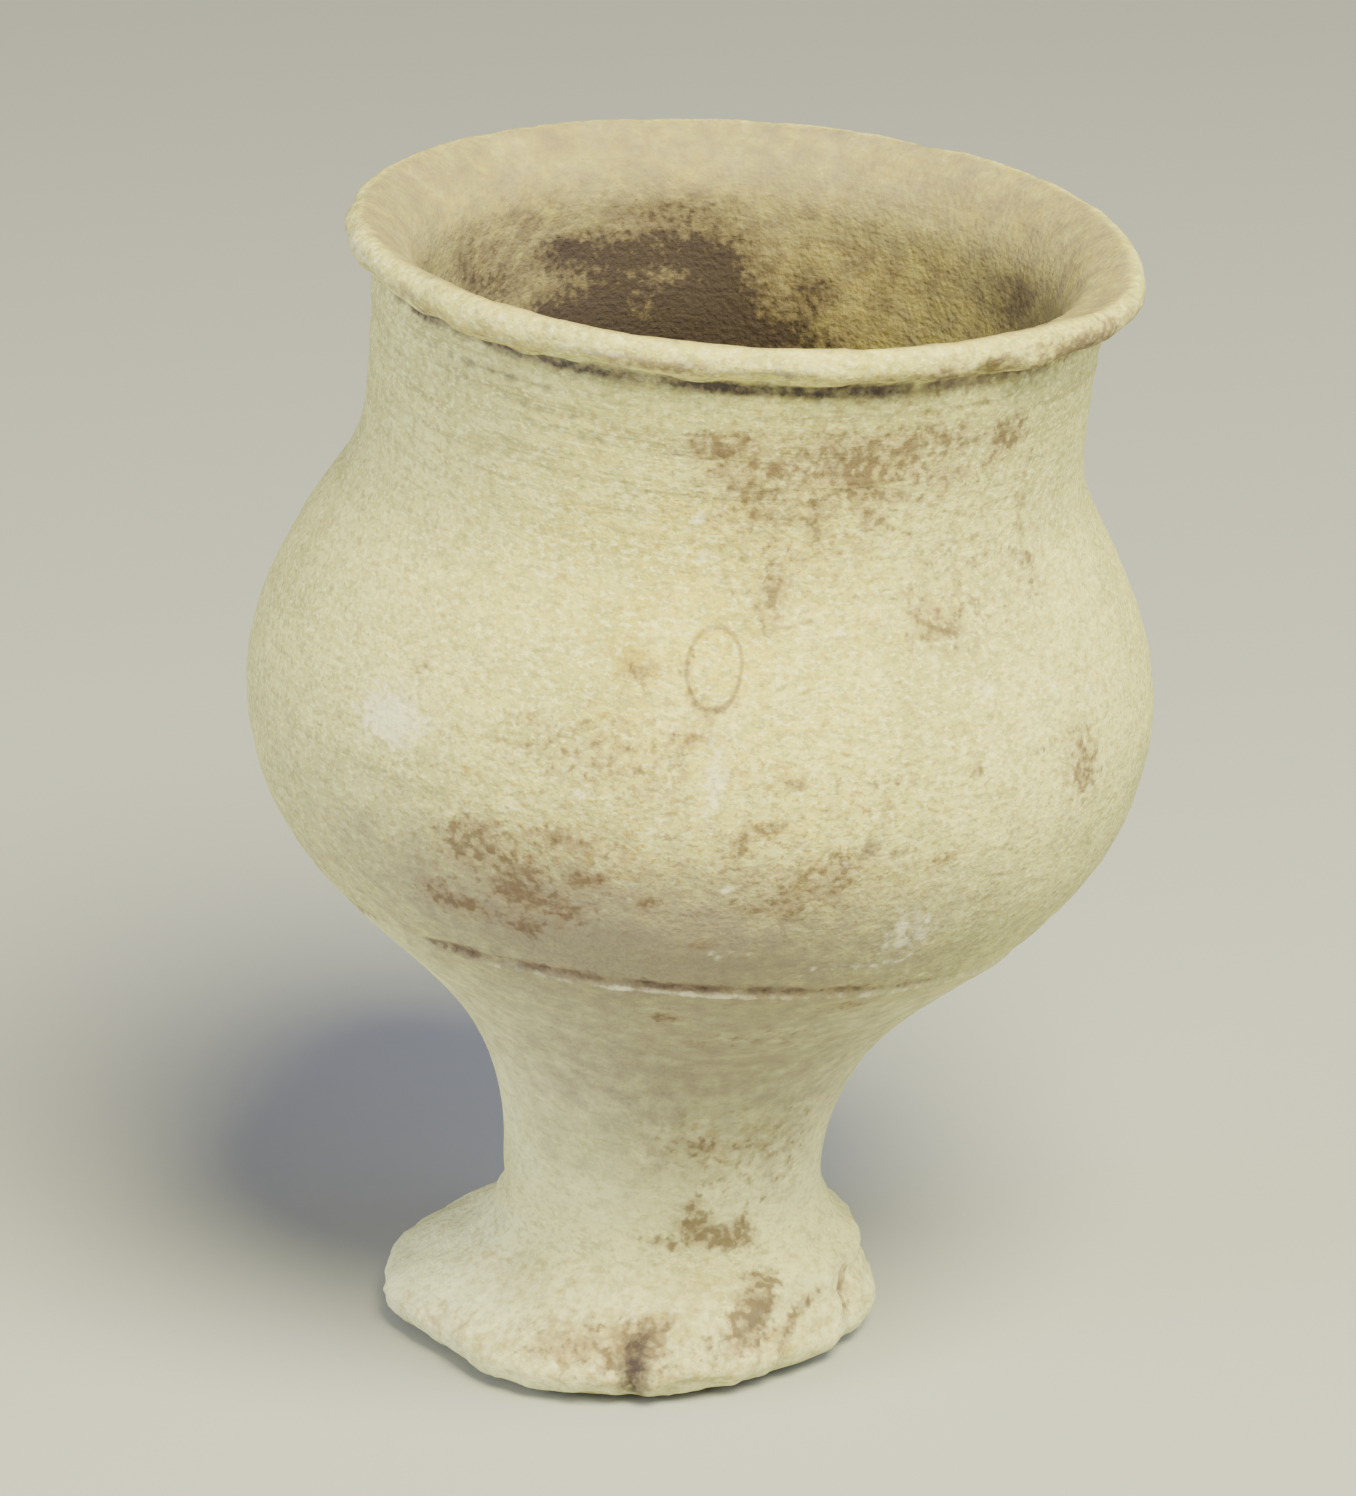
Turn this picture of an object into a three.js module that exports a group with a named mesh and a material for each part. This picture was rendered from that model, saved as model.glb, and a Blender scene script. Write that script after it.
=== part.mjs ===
// A small wheel-thrown clay goblet, fired in one piece: a solid stem on a round foot carries a
// round-bellied bowl with an upright neck and a rolled lip. It leans a little to one side, its foot
// sits off the stem's axis, and its lip is neither quite round nor quite level.
// Millimetres, +Z up. The origin is the centre of the flat underside of the foot, and the goblet
// leans towards +X. Heights above the foot are measured along the leaning axis.
import * as THREE from "three";

// The foot
const FOOT_RADIUS = 18; // at the rounded nose of the flange
const FOOT_UNDERCUT = 4.7; // the flat underside stops this far inside the nose
const NOSE_HEIGHT = 2.45; // the widest ring of the foot, above the ground
const NOSE_RISE = 0.7; // how far the edge of the flange runs up before it turns inwards
const FLANGE_INSET = 4.4; // from the nose in to the middle of the flange's sloping top
const FLANGE_RISE = 4.75; // and from the nose up to it
const FLANGE_SLOPE = THREE.MathUtils.degToRad(42); // of the top, from level
const FLANGE_EASE = 1.5; // length of the curve's handles there
const NOSE_TO_WAIST = 9.4; // from the nose up to the waist of the stem
const STEM_SPREAD = 4.5; // how far below the waist the stem starts to open into the flange
const FOOT_SLUMP = 2.1; // the top of the flange is heaped up this far towards +X
const FOOT_WORN = 1.1; // depth of the worn stretch of the flange's edge
const WORN_AZIMUTH = THREE.MathUtils.degToRad(-141);
const WORN_SPREAD = THREE.MathUtils.degToRad(20);

// The stem and the outside of the bowl
const WAIST_RADIUS = 11.6;
const WAIST_TO_BELLY = 37.6;
const STEM_FLARE = 19.4; // how far above the waist the stem starts to open into the bowl
const BELLY_RADIUS = 32.5;
const BELLY_TURN = 17.7; // how far below its widest ring the belly starts to turn upright
const BELLY_RISE = 4.8; // how far above its widest ring the belly still runs upright
const BELLY_TO_SHOULDER = 12.4;
const SHOULDER_INSET = 4.2; // the steepest ring of the shoulder, inside the belly
const SHOULDER_SLOPE = THREE.MathUtils.degToRad(30); // from upright, at that ring
const SHOULDER_EASE = 3; // length of the curve's handles at that ring
const SHOULDER_TO_NECK = 8.2;
const NECK_RADIUS = 25.5; // at the narrowest ring
const NECK_EASE = 3.8; // how far the neck runs upright on either side of that ring

// The joint, where the clay of the stem laps over the bowl
const JOINT_BELOW_BELLY = 12.6;
const JOINT_LEDGE = 0.35; // how far the lapping edge stands proud
const JOINT_LAP = 4; // height over which the ledge dies out below its edge

// The lip
const NECK_TO_LIP = 12.45; // from the narrowest ring of the neck to the centre of the roll
const LIP_RADIUS = 26.95; // at the centre of the roll
const LIP_ROLL = 1.05; // radius of the roll
const LIP_SLOPE = THREE.MathUtils.degToRad(25); // the broad top of the lip falls inwards this steeply
const LIP_BREADTH = 2.2; // and this far before it turns down into the neck
const COVE_INSET = 1; // the groove under the roll, inside the roll's centre
const COVE_DROP = 1.55; // the deepest ring of that groove, below the roll's centre
const LIP_OVAL = 0.1; // the lip is out of round by this much
const OVAL_AZIMUTH = THREE.MathUtils.degToRad(-70); // its longer way
const LIP_WAVE = 0.1; // it rises twice round the mouth by this much
const WAVE_AZIMUTH = THREE.MathUtils.degToRad(43); // where it is highest
const LIP_TILT = 0.5; // one side of it stands this much higher than square to the axis
const TILT_AZIMUTH = THREE.MathUtils.degToRad(0); // that side
const LIP_SHIFT = 0.1; // and sits this far to +X of the axis
const LIP_SETTLE = 9; // height over which the lip's faults fade into the neck
const LIP_BULGE = 1.2; // in one place the roll is fatter and stands out this much more
const BULGE_REACH = 3.2; // and lies on the neck down to this far below its centre
const BULGE_AZIMUTH = THREE.MathUtils.degToRad(-24);
const BULGE_SPREAD = THREE.MathUtils.degToRad(18);

// The hollow
const NECK_WALL = 2.9;
const BELLY_WALL = 3.2;
const FLOOR_ABOVE_WAIST = 14; // the deepest point of the bowl
const FLOOR_BREADTH = 11; // how far out the floor stays nearly level
const BOWL_TURN = 14; // how far below its widest ring the hollow starts to turn upright
const MOUTH_FLARE = 4.6; // the inner face starts to open out into the lip this far below the roll
const MOUTH_ROUND = 2.6; // how far up from there it still runs upright

// The stance
const LEAN = THREE.MathUtils.degToRad(4.6);
const STEM_OFFSET = 1.6; // the leaning axis meets the ground this far to +X of the foot's centre
const FOOT_BLEND = 1.2; // the foot stays level up to this far above its nose
const STEM_BLEND = 0.3; // the stem stands on its own leaning axis from this far below its waist
const BOWL_BOW = 0.4; // the lower bowl bows this far to -X of the axis

const TURN_STEPS = 56; // facets round the goblet

// Heights along the axis, and radii, of the rings that the sizes above give
const waistHeight = NOSE_HEIGHT + NOSE_TO_WAIST;
const bellyHeight = waistHeight + WAIST_TO_BELLY;
const jointHeight = bellyHeight - JOINT_BELOW_BELLY;
const shoulderHeight = bellyHeight + BELLY_TO_SHOULDER;
const shoulderRadius = BELLY_RADIUS - SHOULDER_INSET;
const neckHeight = shoulderHeight + SHOULDER_TO_NECK;
const lipHeight = neckHeight + NECK_TO_LIP;
const coveRadius = LIP_RADIUS - COVE_INSET;
const floorHeight = waistHeight + FLOOR_ABOVE_WAIST;

// A point of the profile: its radius and its height along the axis
const ring = (radius, height) => new THREE.Vector2(radius, height);

// A curve through two rings, with a handle at each, as points without the first one
function sweep(start, startHandle, endHandle, end, steps) {
  const curve = new THREE.CubicBezierCurve(start, startHandle, endHandle, end);
  return curve.getPoints(steps).slice(1);
}

// Points round part of an ellipse, from one angle to another, without the first one
function arc(centre, acrossRadius, upRadius, fromDegrees, toDegrees, steps) {
  const points = [];
  for (let i = 1; i <= steps; i++) {
    const angle = THREE.MathUtils.degToRad(fromDegrees + ((toDegrees - fromDegrees) * i) / steps);
    points.push(ring(centre.x + acrossRadius * Math.cos(angle), centre.y + upRadius * Math.sin(angle)));
  }
  return points;
}

// The underside, the rounded nose of the flange and its sloping top, up to the waist
function footProfile() {
  const nose = ring(FOOT_RADIUS, NOSE_HEIGHT);
  const noseCentre = ring(FOOT_RADIUS - FOOT_UNDERCUT, NOSE_HEIGHT);
  const top = ring(FOOT_RADIUS - FLANGE_INSET, NOSE_HEIGHT + FLANGE_RISE);
  const handle = ring(-Math.cos(FLANGE_SLOPE), Math.sin(FLANGE_SLOPE)).multiplyScalar(FLANGE_EASE);
  const waist = ring(WAIST_RADIUS, waistHeight);
  return [
    ring(0, 0),
    ring(noseCentre.x, 0),
    ...arc(noseCentre, FOOT_UNDERCUT, NOSE_HEIGHT, -90, 0, 5),
    ...sweep(nose, ring(FOOT_RADIUS, NOSE_HEIGHT + NOSE_RISE), top.clone().sub(handle), top, 4),
    ...sweep(top, top.clone().add(handle), ring(WAIST_RADIUS, waistHeight - STEM_SPREAD), waist, 6),
  ];
}

// How far the outside stands proud, below the edge of the joint, and above it not at all
function jointLap(height) {
  const below = jointHeight - height;
  return below < 0 ? 0 : JOINT_LEDGE * Math.max(0, 1 - below / JOINT_LAP) ** 2;
}

// The outside of the stem and the lower bowl, with the ledge of the joint
function bowlProfile() {
  const smooth = sweep(
    ring(WAIST_RADIUS, waistHeight),
    ring(WAIST_RADIUS, waistHeight + STEM_FLARE),
    ring(BELLY_RADIUS, bellyHeight - BELLY_TURN),
    ring(BELLY_RADIUS, bellyHeight),
    18,
  );
  const above = smooth.findIndex((point) => point.y > jointHeight);
  const [low, high] = [smooth[above - 1], smooth[above]];
  const edge = low.clone().lerp(high, (jointHeight - low.y) / (high.y - low.y));
  const lapped = smooth.slice(0, above).map((point) => ring(point.x + jointLap(point.y), point.y));
  return [...lapped, ring(edge.x + JOINT_LEDGE, edge.y), edge, ...smooth.slice(above)];
}

// The outside of the upper bowl and the neck, to the groove under the lip
function neckProfile() {
  const handle = ring(-Math.sin(SHOULDER_SLOPE), Math.cos(SHOULDER_SLOPE)).multiplyScalar(SHOULDER_EASE);
  const shoulder = ring(shoulderRadius, shoulderHeight);
  const neck = ring(NECK_RADIUS, neckHeight);
  return [
    ...sweep(
      ring(BELLY_RADIUS, bellyHeight),
      ring(BELLY_RADIUS, bellyHeight + BELLY_RISE),
      shoulder.clone().sub(handle),
      shoulder,
      7,
    ),
    ...sweep(shoulder, shoulder.clone().add(handle), ring(NECK_RADIUS, neckHeight - NECK_EASE), neck, 5),
    ...sweep(
      neck,
      ring(NECK_RADIUS, neckHeight + NECK_EASE),
      ring(coveRadius, lipHeight - COVE_DROP - NECK_EASE),
      ring(coveRadius, lipHeight - COVE_DROP),
      5,
    ),
  ];
}

// The rolled lip, round from the groove outside over its crest
function lipProfile() {
  const past = 90 + THREE.MathUtils.radToDeg(LIP_SLOPE);
  return arc(ring(LIP_RADIUS, lipHeight), LIP_ROLL, LIP_ROLL, -80, past, 9);
}

// The broad top of the lip and the inside, down to the centre of the floor
function hollowProfile() {
  const lipTop = lipProfile().at(-1);
  const inwards = ring(-Math.cos(LIP_SLOPE), -Math.sin(LIP_SLOPE)).multiplyScalar(LIP_BREADTH);
  const neckInside = ring(NECK_RADIUS - NECK_WALL, neckHeight);
  const bellyInside = ring(BELLY_RADIUS - BELLY_WALL, bellyHeight);
  const neckTop = ring(neckInside.x, lipHeight - MOUTH_FLARE);
  return [
    ...sweep(
      lipTop,
      lipTop.clone().add(inwards),
      ring(neckTop.x, neckTop.y + MOUTH_ROUND),
      neckTop,
      7,
    ),
    neckInside,
    ...sweep(
      neckInside,
      ring(neckInside.x, neckHeight - NECK_EASE * 2),
      ring(bellyInside.x, bellyHeight + BELLY_TO_SHOULDER / 2),
      bellyInside,
      8,
    ),
    ...sweep(
      bellyInside,
      ring(bellyInside.x, bellyHeight - BOWL_TURN),
      ring(FLOOR_BREADTH, floorHeight),
      ring(0, floorHeight),
      10,
    ),
  ];
}

// 0 below the first height, 1 above the second, and smooth between
const fade = (height, from, to) => THREE.MathUtils.smoothstep(height, from, to);

// The angle between two azimuths
function apart(azimuth, other) {
  return Math.abs(Math.atan2(Math.sin(azimuth - other), Math.cos(azimuth - other)));
}

// How far the flange's edge is worn away, most at one azimuth
const worn = (azimuth) => FOOT_WORN * Math.exp(-((apart(azimuth, WORN_AZIMUTH) / WORN_SPREAD) ** 2));

// How far a height stands between two others, 0 at both ends and 1 in the middle
function hump(height, from, to) {
  const share = THREE.MathUtils.clamp((height - from) / (to - from), 0, 1);
  return Math.sin(Math.PI * share) ** 2;
}

// How far the fat stretch of the roll stands out, and the inner face not at all
function bulge(radius, azimuth, height) {
  const outer = fade(radius, NECK_RADIUS - 1, NECK_RADIUS);
  const side = Math.exp(-((apart(azimuth, BULGE_AZIMUTH) / BULGE_SPREAD) ** 2));
  return LIP_BULGE * outer * side * fade(height, lipHeight - BULGE_REACH, lipHeight - LIP_ROLL);
}

// Where a point of the turned form stands, once the lip has warped and the goblet leans
function settle(radius, azimuth, height) {
  const lip = fade(height, lipHeight - LIP_SETTLE, lipHeight);
  const foot = 1 - fade(height, NOSE_HEIGHT, waistHeight);
  const stem = fade(height, NOSE_HEIGHT + FOOT_BLEND, waistHeight - STEM_BLEND);
  const share = Math.min(1, radius / WAIST_RADIUS);
  const oval = lip * LIP_OVAL * Math.cos(2 * (azimuth - OVAL_AZIMUTH));
  const grown = radius + share * (oval - foot * worn(azimuth)) + bulge(radius, azimuth, height);
  const wave = LIP_WAVE * Math.cos(2 * (azimuth - WAVE_AZIMUTH));
  const raised = height + lip * (wave + LIP_TILT * Math.cos(azimuth - TILT_AZIMUTH));

  const tilt = LEAN * stem;
  const across = grown * Math.cos(azimuth) + lip * LIP_SHIFT;
  const slump = FOOT_SLUMP * hump(height, NOSE_HEIGHT, waistHeight);
  const bow = BOWL_BOW * hump(height, waistHeight, shoulderHeight);
  return new THREE.Vector3(
    slump - bow + stem * (STEM_OFFSET + raised * Math.sin(LEAN)) + across * Math.cos(tilt),
    grown * Math.sin(azimuth),
    raised * THREE.MathUtils.lerp(1, Math.cos(LEAN), stem) - across * Math.sin(tilt),
  );
}

// The whole profile turned once round, then settled
function gobletGeometry() {
  const outside = [...footProfile(), ...bowlProfile(), ...neckProfile(), ...lipProfile()];
  const profile = [...outside, ...hollowProfile()];
  const geometry = new THREE.LatheGeometry(profile, TURN_STEPS);
  geometry.rotateX(Math.PI / 2);
  const position = geometry.getAttribute("position");
  for (let i = 0; i < position.count; i++) {
    const radius = Math.hypot(position.getX(i), position.getY(i));
    const azimuth = Math.atan2(position.getY(i), position.getX(i));
    position.setXYZ(i, ...settle(radius, azimuth, position.getZ(i)));
  }
  geometry.computeVertexNormals();
  return geometry;
}

const firedClay = new THREE.MeshStandardMaterial({ color: 0xcfc6a0, roughness: 0.9, metalness: 0 });

const goblet = new THREE.Mesh(gobletGeometry(), firedClay);
goblet.name = "goblet";

const root = new THREE.Group();
root.add(goblet);

export default root;
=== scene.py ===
"""A small wheel-thrown clay goblet with a worn foot, a leaning bowl and a soil-stained surface."""

import math

import bmesh
import bpy
import numpy as np
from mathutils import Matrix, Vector


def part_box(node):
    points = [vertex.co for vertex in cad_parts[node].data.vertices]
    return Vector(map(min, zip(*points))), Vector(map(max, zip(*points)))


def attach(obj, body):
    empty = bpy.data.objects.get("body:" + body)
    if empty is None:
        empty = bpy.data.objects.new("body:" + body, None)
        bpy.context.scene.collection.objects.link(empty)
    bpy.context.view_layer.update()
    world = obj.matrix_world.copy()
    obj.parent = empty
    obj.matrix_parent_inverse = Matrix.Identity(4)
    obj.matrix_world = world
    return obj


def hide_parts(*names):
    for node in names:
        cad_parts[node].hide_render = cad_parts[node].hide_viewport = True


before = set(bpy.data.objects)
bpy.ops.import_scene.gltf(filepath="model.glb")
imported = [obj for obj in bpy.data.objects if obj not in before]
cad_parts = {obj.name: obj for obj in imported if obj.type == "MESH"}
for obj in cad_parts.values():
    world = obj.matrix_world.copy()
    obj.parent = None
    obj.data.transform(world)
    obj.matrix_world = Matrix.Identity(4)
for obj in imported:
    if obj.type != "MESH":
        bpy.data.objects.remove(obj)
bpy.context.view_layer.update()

# The goblet
# One vessel of pale calcareous clay. The bowl was thrown on a wheel, and the solid stem and foot were
# worked on to it while both were damp, so a lapped edge of clay runs round the lower bowl. It
# leaned as it dried, and was fired in one piece without a glaze. Sizes here are in millimetres.
MM = 0.001
foot_low, goblet_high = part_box("goblet")

FOOT_RADIUS = 18.0
FOOT_UNDERCUT = 4.7
NOSE_HEIGHT = 2.45
NOSE_RISE = 0.7
FLANGE_INSET = 4.4
FLANGE_RISE = 4.75
FLANGE_SLOPE = math.radians(42)
FLANGE_EASE = 1.5
NOSE_TO_WAIST = 9.4
STEM_SPREAD = 4.5
FOOT_SLUMP = 2.1
FOOT_WORN = 1.1
WORN_AZIMUTH = -141
WORN_SPREAD = 20

WAIST_RADIUS = 11.6
WAIST_TO_BELLY = 37.6
STEM_FLARE = 19.4
BELLY_RADIUS = (goblet_high.y - foot_low.y) / 2 / MM
BELLY_TURN = 17.7
BELLY_RISE = 4.8
BELLY_TO_SHOULDER = 12.4
SHOULDER_INSET = 4.2
SHOULDER_SLOPE = math.radians(30)
SHOULDER_EASE = 3.0
SHOULDER_TO_NECK = 8.2
NECK_RADIUS = 25.5
NECK_EASE = 3.8

JOINT_BELOW_BELLY = 12.6
JOINT_LEDGE = 0.35
JOINT_LAP = 4.0

NECK_TO_LIP = 12.45
LIP_RADIUS = 26.95
LIP_ROLL = 1.05
LIP_SLOPE = math.radians(25)
LIP_BREADTH = 2.2
COVE_INSET = 1.0
COVE_DROP = 1.55
LIP_OVAL = 0.1
OVAL_AZIMUTH = -70
LIP_WAVE = 0.1
WAVE_AZIMUTH = 43
LIP_TILT = 0.5
TILT_AZIMUTH = 0
LIP_SHIFT = 0.1
LIP_SETTLE = 9.0
LIP_BULGE = 1.2
BULGE_REACH = 3.2
BULGE_AZIMUTH = -24
BULGE_SPREAD = 18

NECK_WALL = 2.9
BELLY_WALL = 3.2
FLOOR_ABOVE_WAIST = 14.0
FLOOR_BREADTH = 11.0
BOWL_TURN = 14.0
MOUTH_FLARE = 4.6
MOUTH_ROUND = 2.6

LEAN = math.radians(4.6)
STEM_OFFSET = 1.6
FOOT_BLEND = 1.2
STEM_BLEND = 0.3
BOWL_BOW = 0.4

TURN_STEPS = 300
CURVE_POINTS = 80
# Distances between the rings on the outside, on the lip, at the joint and on the inside
FINE = 0.45
LIP_FINE = 0.26
JOINT_FINE = 0.2
COARSE = 1.4
FINE_BELOW_JOINT = 3.0
FINE_ABOVE_JOINT = 1.2

waist = NOSE_HEIGHT + NOSE_TO_WAIST
belly = waist + WAIST_TO_BELLY
joint = belly - JOINT_BELOW_BELLY
shoulder = belly + BELLY_TO_SHOULDER
neck = shoulder + SHOULDER_TO_NECK
lip = neck + NECK_TO_LIP
bowl_floor = waist + FLOOR_ABOVE_WAIST
cove_radius = LIP_RADIUS - COVE_INSET


def sweep(*handles):
    """Points of a cubic curve between two rings, each a radius and a height."""
    a, b, c, d = (np.array(handle, float) for handle in handles)
    t = np.linspace(0, 1, CURVE_POINTS)[:, None]
    return (1 - t) ** 3 * a + 3 * (1 - t) ** 2 * t * b + 3 * (1 - t) * t**2 * c + t**3 * d


def arc(centre, across, up, start, end):
    """Points round part of an ellipse, between two angles in degrees."""
    turn = np.radians(np.linspace(start, end, CURVE_POINTS))
    return np.stack([centre[0] + across * np.cos(turn), centre[1] + up * np.sin(turn)], -1)


def evenly(points, spacing):
    """The same line with its points about one spacing apart, without the last one."""
    points = np.array(points, float)
    run = np.concatenate([[0], np.cumsum(np.hypot(*np.diff(points, axis=0).T))])
    stops = np.linspace(0, run[-1], max(2, round(run[-1] / spacing)) + 1)[:-1]
    return np.stack([np.interp(stops, run, points[:, i]) for i in (0, 1)], -1)


flange_top = np.array([FOOT_RADIUS - FLANGE_INSET, NOSE_HEIGHT + FLANGE_RISE])
flange_handle = FLANGE_EASE * np.array([-math.cos(FLANGE_SLOPE), math.sin(FLANGE_SLOPE)])
shoulder_ring = np.array([BELLY_RADIUS - SHOULDER_INSET, shoulder])
shoulder_handle = SHOULDER_EASE * np.array([-math.sin(SHOULDER_SLOPE), math.cos(SHOULDER_SLOPE)])
nose_centre = (FOOT_RADIUS - FOOT_UNDERCUT, NOSE_HEIGHT)
roll = arc((LIP_RADIUS, lip), LIP_ROLL, LIP_ROLL, -80, 90 + math.degrees(LIP_SLOPE))
lip_top = roll[-1]
lip_inwards = LIP_BREADTH * np.array([-math.cos(LIP_SLOPE), -math.sin(LIP_SLOPE)])
neck_inside = NECK_RADIUS - NECK_WALL
neck_top = lip - MOUTH_FLARE
belly_inside = BELLY_RADIUS - BELLY_WALL

bowl = sweep((WAIST_RADIUS, waist), (WAIST_RADIUS, waist + STEM_FLARE),
             (BELLY_RADIUS, belly - BELLY_TURN), (BELLY_RADIUS, belly))
fine_from_to = (joint - FINE_BELOW_JOINT, joint + FINE_ABOVE_JOINT)
joint_start, joint_end = np.searchsorted(bowl[:, 1], fine_from_to)

profile = np.vstack(
    [
        evenly([(0, 0), (nose_centre[0], 0)], COARSE),
        evenly(arc(nose_centre, FOOT_UNDERCUT, NOSE_HEIGHT, -90, 0), FINE),
        evenly(
            sweep((FOOT_RADIUS, NOSE_HEIGHT), (FOOT_RADIUS, NOSE_HEIGHT + NOSE_RISE),
                  flange_top - flange_handle, flange_top), FINE),
        evenly(
            sweep(flange_top, flange_top + flange_handle,
                  (WAIST_RADIUS, waist - STEM_SPREAD), (WAIST_RADIUS, waist)), FINE),
        evenly(bowl[: joint_start + 1], FINE),
        evenly(bowl[joint_start : joint_end + 1], JOINT_FINE),
        evenly(bowl[joint_end:], FINE),
        evenly(
            sweep((BELLY_RADIUS, belly), (BELLY_RADIUS, belly + BELLY_RISE),
                  shoulder_ring - shoulder_handle, shoulder_ring), FINE),
        evenly(
            sweep(shoulder_ring, shoulder_ring + shoulder_handle,
                  (NECK_RADIUS, neck - NECK_EASE), (NECK_RADIUS, neck)), FINE),
        evenly(
            sweep((NECK_RADIUS, neck), (NECK_RADIUS, neck + NECK_EASE),
                  (cove_radius, lip - COVE_DROP - NECK_EASE), (cove_radius, lip - COVE_DROP)), FINE),
        evenly(np.vstack([[(cove_radius, lip - COVE_DROP)], roll]), LIP_FINE),
        evenly(
            sweep(lip_top, lip_top + lip_inwards,
                  (neck_inside, neck_top + MOUTH_ROUND), (neck_inside, neck_top)), FINE),
        evenly([(neck_inside, neck_top), (neck_inside, neck)], COARSE),
        evenly(
            sweep((neck_inside, neck), (neck_inside, neck - 2 * NECK_EASE),
                  (belly_inside, belly + BELLY_TO_SHOULDER / 2), (belly_inside, belly)), COARSE),
        evenly(
            sweep((belly_inside, belly), (belly_inside, belly - BOWL_TURN),
                  (FLOOR_BREADTH, bowl_floor), (0, bowl_floor)), COARSE),
        [(0, bowl_floor)],
    ]
)
along_profile = np.concatenate([[0], np.cumsum(np.hypot(*np.diff(profile, axis=0).T))])
lip_along = along_profile[np.argmax(profile[:, 1])]

form = bmesh.new()
run_layer = form.verts.layers.float.new("along")
turned = []
for (ring_radius, ring_height), run in zip(profile, along_profile):
    vert = form.verts.new((ring_radius * MM, 0, ring_height * MM))
    vert[run_layer] = run
    turned.append(vert)
edges = [form.edges.new(pair) for pair in zip(turned, turned[1:])]
bmesh.ops.spin(
    form, geom=turned + edges, cent=(0, 0, 0), axis=(0, 0, 1), dvec=(0, 0, 0),
    angle=2 * math.pi, steps=TURN_STEPS, use_merge=True, use_duplicate=False)
bmesh.ops.remove_doubles(form, verts=form.verts, dist=MM / 1000)
bmesh.ops.recalc_face_normals(form, faces=form.faces)
goblet_mesh = bpy.data.meshes.new("thrown_goblet")
form.to_mesh(goblet_mesh)
form.free()


def read(owner, name, width):
    """One value of every vertex, as an array."""
    values = np.empty(len(owner) * width, np.float32)
    owner.foreach_get(name, values)
    return values.reshape(-1, width).astype(float)


place = read(goblet_mesh.vertices, "co", 3) / MM
normal = read(goblet_mesh.vertices, "normal", 3)
along = read(goblet_mesh.attributes["along"].data, "value", 1)[:, 0]
radius = np.hypot(place[:, 0], place[:, 1])
azimuth = np.arctan2(place[:, 1], place[:, 0])
height = place[:, 2]
front = np.degrees(np.arctan2(place[:, 0], -place[:, 1]))  # 0 at the front, positive to the right


def fade(value, low, high):
    """0 below the first value, 1 above the second, and smooth between."""
    share = np.clip((value - low) / (high - low), 0, 1)
    return share * share * (3 - 2 * share)


def hump(value, low, high):
    """0 at both values and 1 half way between."""
    return np.sin(math.pi * np.clip((value - low) / (high - low), 0, 1)) ** 2


def band(value, middle, half):
    """1 at the middle value, and next to nothing from twice the half width on."""
    return np.exp(-(((value - middle) / half) ** 2))


def apart(degrees, other):
    """The angle between two directions, in degrees."""
    return (degrees - other + 180) % 360 - 180


def cloud(seed, around, up):
    """Smooth chance values between about -1 and 1, on cells of that size in millimetres."""
    columns = max(3, round(2 * math.pi * BELLY_RADIUS / around))
    rows = math.ceil(along_profile[-1] / up) + 2
    cells = np.random.default_rng(seed).uniform(-1, 1, (rows, columns))
    u = (azimuth / (2 * math.pi)) % 1 * columns
    v = along / up
    column, row = np.floor(u).astype(int), np.floor(v).astype(int)
    du, dv = fade(u - column, 0, 1), fade(v - row, 0, 1)
    column, beside = column % columns, (column + 1) % columns
    low = cells[row, column] * (1 - du) + cells[row, beside] * du
    high = cells[row + 1, column] * (1 - du) + cells[row + 1, beside] * du
    return low * (1 - dv) + high * dv


ROUND = 400  # cells this tall vary round the goblet only
outside = 1 - fade(along, lip_along - 0.5, lip_along + 0.5)


def blot(at, level, across, up, tilt=0, inside=False):
    """A soft spot: 1 at its middle, with its half sizes in millimetres along the wall."""
    du = np.radians(apart(front, at)) * np.maximum(radius, WAIST_RADIUS / 2)
    dv = height - level
    turn = math.radians(tilt)
    a = (du * math.cos(turn) + dv * math.sin(turn)) / across
    b = (dv * math.cos(turn) - du * math.sin(turn)) / up
    side = 1 - outside if inside else outside
    return side * np.exp(-(a * a + b * b))


def between(start, end):
    """1 over a stretch of the front, from one direction to another in degrees."""
    return fade(front, start - 1, start + 1) * (1 - fade(front, end - 1, end + 1))


# The thrower's fingers left long ripples, deepest on the neck with three grooves among them, and
# the clay's coarser bits a grain. Each groove has its level and depth.
GROOVES = ((76.7, 0.13), (75.3, 0.08), (78.3, 0.08))
GROOVE_HALF = 0.3
body = outside * fade(height, NOSE_HEIGHT, NOSE_HEIGHT + 4)
thrown = body * fade(height, joint - 2, joint + 2)
on_neck = outside * fade(height, shoulder, neck) * (1 - fade(height, lip - 2.4, lip - 1.6))
smooth_stem = outside * fade(height, NOSE_HEIGHT + 6, waist) * (1 - fade(height, joint - 1, joint))
relief = 0.10 * cloud(1, 14, 9) + 0.05 * cloud(2, 5, 4)
relief += thrown * (0.04 * cloud(3, 70, 1.9) + 0.03 * cloud(4, 60, 0.9))
relief += on_neck * (0.05 * cloud(5, 90, 1.3) + 0.03 * cloud(6, 60, 0.8))
relief += (1 - outside) * (0.12 * cloud(7, 90, 3.1) + 0.10 * cloud(8, 12, 7))
relief += (0.035 - 0.02 * smooth_stem) * cloud(9, 1.1, 0.8)
wander = 0.25 * cloud(10, 30, ROUND)
grooved = outside * (0.4 + 0.6 * band(front, -35, 45))
for level, depth in GROOVES:
    relief -= grooved * depth * band(height, level + wander, GROOVE_HALF)

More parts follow.
